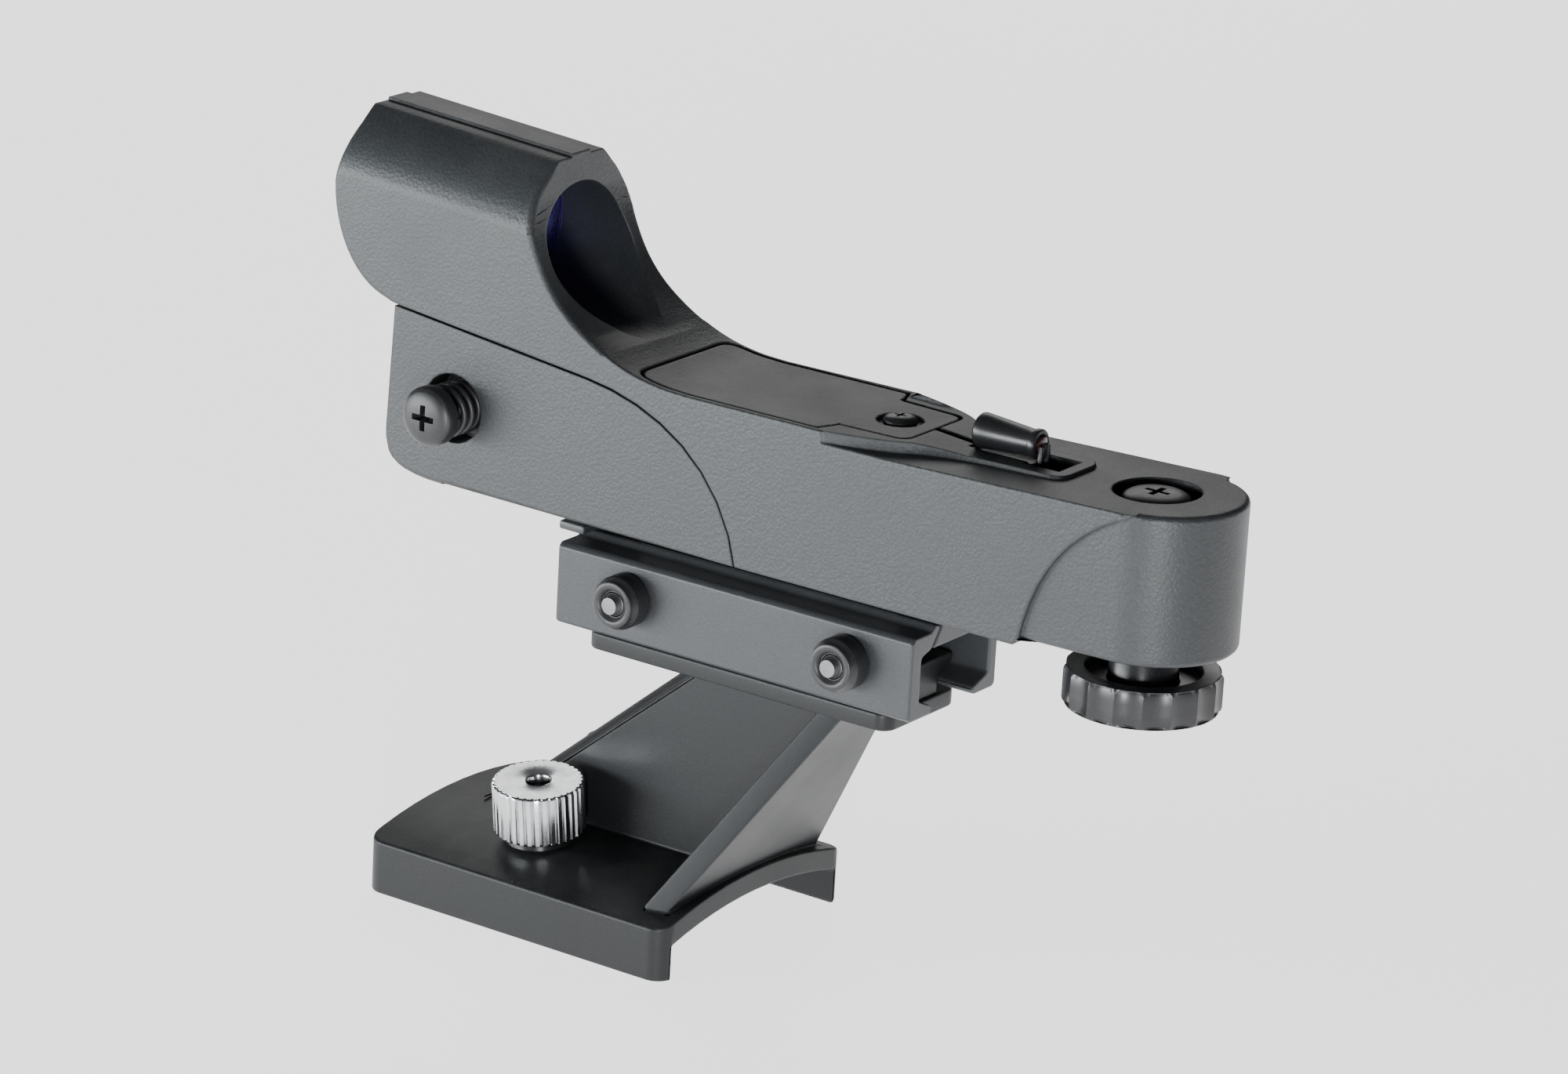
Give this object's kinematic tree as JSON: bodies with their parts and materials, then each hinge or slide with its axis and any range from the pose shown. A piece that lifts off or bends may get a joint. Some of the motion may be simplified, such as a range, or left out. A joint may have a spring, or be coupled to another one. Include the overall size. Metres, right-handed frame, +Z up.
{
  "type": "red dot finder",
  "caption": "Reflex red dot finder: sight tube with coated lens on a hollow body, two aiming knobs, a two-screw dovetail clamp and an arched saddle bracket with thumb nuts.",
  "frame": {"origin": "middle of the saddle foot, at the level of the two flange edges that rest on the telescope tube", "axes": "+X to the observer's right, +Y forward along the line of sight, +Z up away from the telescope tube"},
  "size_m": [0.04, 0.1306, 0.1002],
  "materials": {
    "shell": "fine-grained charcoal moulding",
    "clamp_grey": "finely textured dark grey moulding",
    "bracket_grey": "finely textured dark grey paint",
    "knob_black": "semi-gloss black moulding",
    "black_screw": "black oxide steel",
    "spring_black": "black oxide spring wire",
    "screw_steel": "zinc-plated steel",
    "nut_chrome": "bright nickel plating",
    "lens_glass": "blue-violet coated glass",
    "board": "green solder mask",
    "component": "black component body",
    "contact_spring": "spring brass",
    "cell_steel": "brushed cell can",
    "led_red": "smoked red lamp body"
  },
  "bodies": {
    "bracket": {"mounting_bracket": "bracket_grey", "mounting_stud_left": "screw_steel", "mounting_stud_right": "screw_steel"},
    "left_thumb_nut": {"thumb_nut_left": "nut_chrome"},
    "right_thumb_nut": {"thumb_nut_right": "nut_chrome"},
    "arm": {"base_arm": "clamp_grey", "clamp_screw_rear": "screw_steel", "clamp_screw_front": "screw_steel"},
    "jaw": {"moving_jaw": "clamp_grey"},
    "rear_clamp_nut": {"clamp_nut_rear": "black_screw"},
    "front_clamp_nut": {"clamp_nut_front": "black_screw"},
    "swing": {"azimuth_spring": "spring_black"},
    "cross_screw": {"azimuth_screw": "black_screw", "azimuth_knob": "knob_black"},
    "body": {"upper_housing": "shell", "lower_shell": "shell", "assembly_screw_left": "black_screw", "assembly_screw_right": "black_screw", "coin_cell": "cell_steel", "negative_contact": "contact_spring", "positive_contact": "contact_spring", "circuit_board": "board", "brightness_potentiometer": "component", "led": "led_red", "led_hood": "knob_black", "lens": "lens_glass", "lens_retaining_ring": "knob_black"},
    "tail_screw": {"altitude_screw": "black_screw", "altitude_knob": "knob_black"},
    "dial": {"brightness_dial": "knob_black"},
    "cover": {"battery_cover": "shell"},
    "cover_screw": {"battery_cover_screw": "black_screw"}
  },
  "joints": [
    {"name": "rail_slide", "type": "slide", "parent": "bracket", "child": "arm", "axis": [0, 1, 0], "range_m": [-0.008, 0.008]},
    {"name": "azimuth_swing", "type": "hinge", "parent": "arm", "child": "swing", "pos_m": [0, -0.079, 0.0645], "axis": [0, 0, 1], "range_deg": [-2, 2]},
    {"name": "altitude_tilt", "type": "hinge", "parent": "swing", "child": "body", "pos_m": [0, 0.0195, 0.0645], "axis": [1, 0, 0], "range_deg": [-1.8, 1.8]},
    {"name": "azimuth_knob_turn", "type": "hinge", "parent": "swing", "child": "cross_screw", "pos_m": [0, 0.0195, 0.0645], "axis": [1, 0, 0], "range_deg": [-1769, 1769]},
    {"name": "altitude_knob_turn", "type": "hinge", "parent": "body", "child": "tail_screw", "pos_m": [0, -0.079, 0.0645], "axis": [0, 0, 1], "range_deg": [-1592, 1592]},
    {"name": "dial_turn", "type": "hinge", "parent": "body", "child": "dial", "pos_m": [0.0112, 0, 0.0684], "axis": [1, 0, 0], "range_deg": [0, 270]},
    {"name": "battery_cover_lift", "type": "slide", "parent": "body", "child": "cover", "axis": [0, 0, 1], "range_m": [0, 0.012]},
    {"name": "battery_screw_turn", "type": "hinge", "parent": "cover", "child": "cover_screw", "pos_m": [0, -0.0416, 0.074], "axis": [0, 0, 1], "range_deg": [0, 1080]},
    {"name": "rear_clamp_nut_turn", "type": "hinge", "parent": "jaw", "child": "rear_clamp_nut", "pos_m": [-0.012, -0.0425, 0.0455], "axis": [-1, 0, 0], "range_deg": [0, 1081]},
    {"name": "front_clamp_nut_turn", "type": "hinge", "parent": "jaw", "child": "front_clamp_nut", "pos_m": [-0.012, -0.009, 0.0455], "axis": [-1, 0, 0], "range_deg": [0, 1081]},
    {"name": "jaw_slide", "type": "slide", "parent": "arm", "child": "jaw", "axis": [-1, 0, 0], "range_m": [0, 0.0015]},
    {"name": "left_thumb_nut_turn", "type": "hinge", "parent": "bracket", "child": "left_thumb_nut", "pos_m": [-0.009, 0.004, 0.00944], "axis": [-0.125, 0, 0.9922], "continuous": true},
    {"name": "right_thumb_nut_turn", "type": "hinge", "parent": "bracket", "child": "right_thumb_nut", "pos_m": [0.009, 0.004, 0.00944], "axis": [0.125, 0, 0.9922], "continuous": true}
  ],
  "couplings": [
    {"joint": "azimuth_knob_turn", "follows": "azimuth_swing", "ratio": -884.13},
    {"joint": "altitude_knob_turn", "follows": "altitude_tilt", "ratio": -884.13},
    {"joint": "rear_clamp_nut_turn", "follows": "jaw_slide", "rad_per_m": 12566},
    {"joint": "front_clamp_nut_turn", "follows": "jaw_slide", "rad_per_m": 12566}
  ]
}
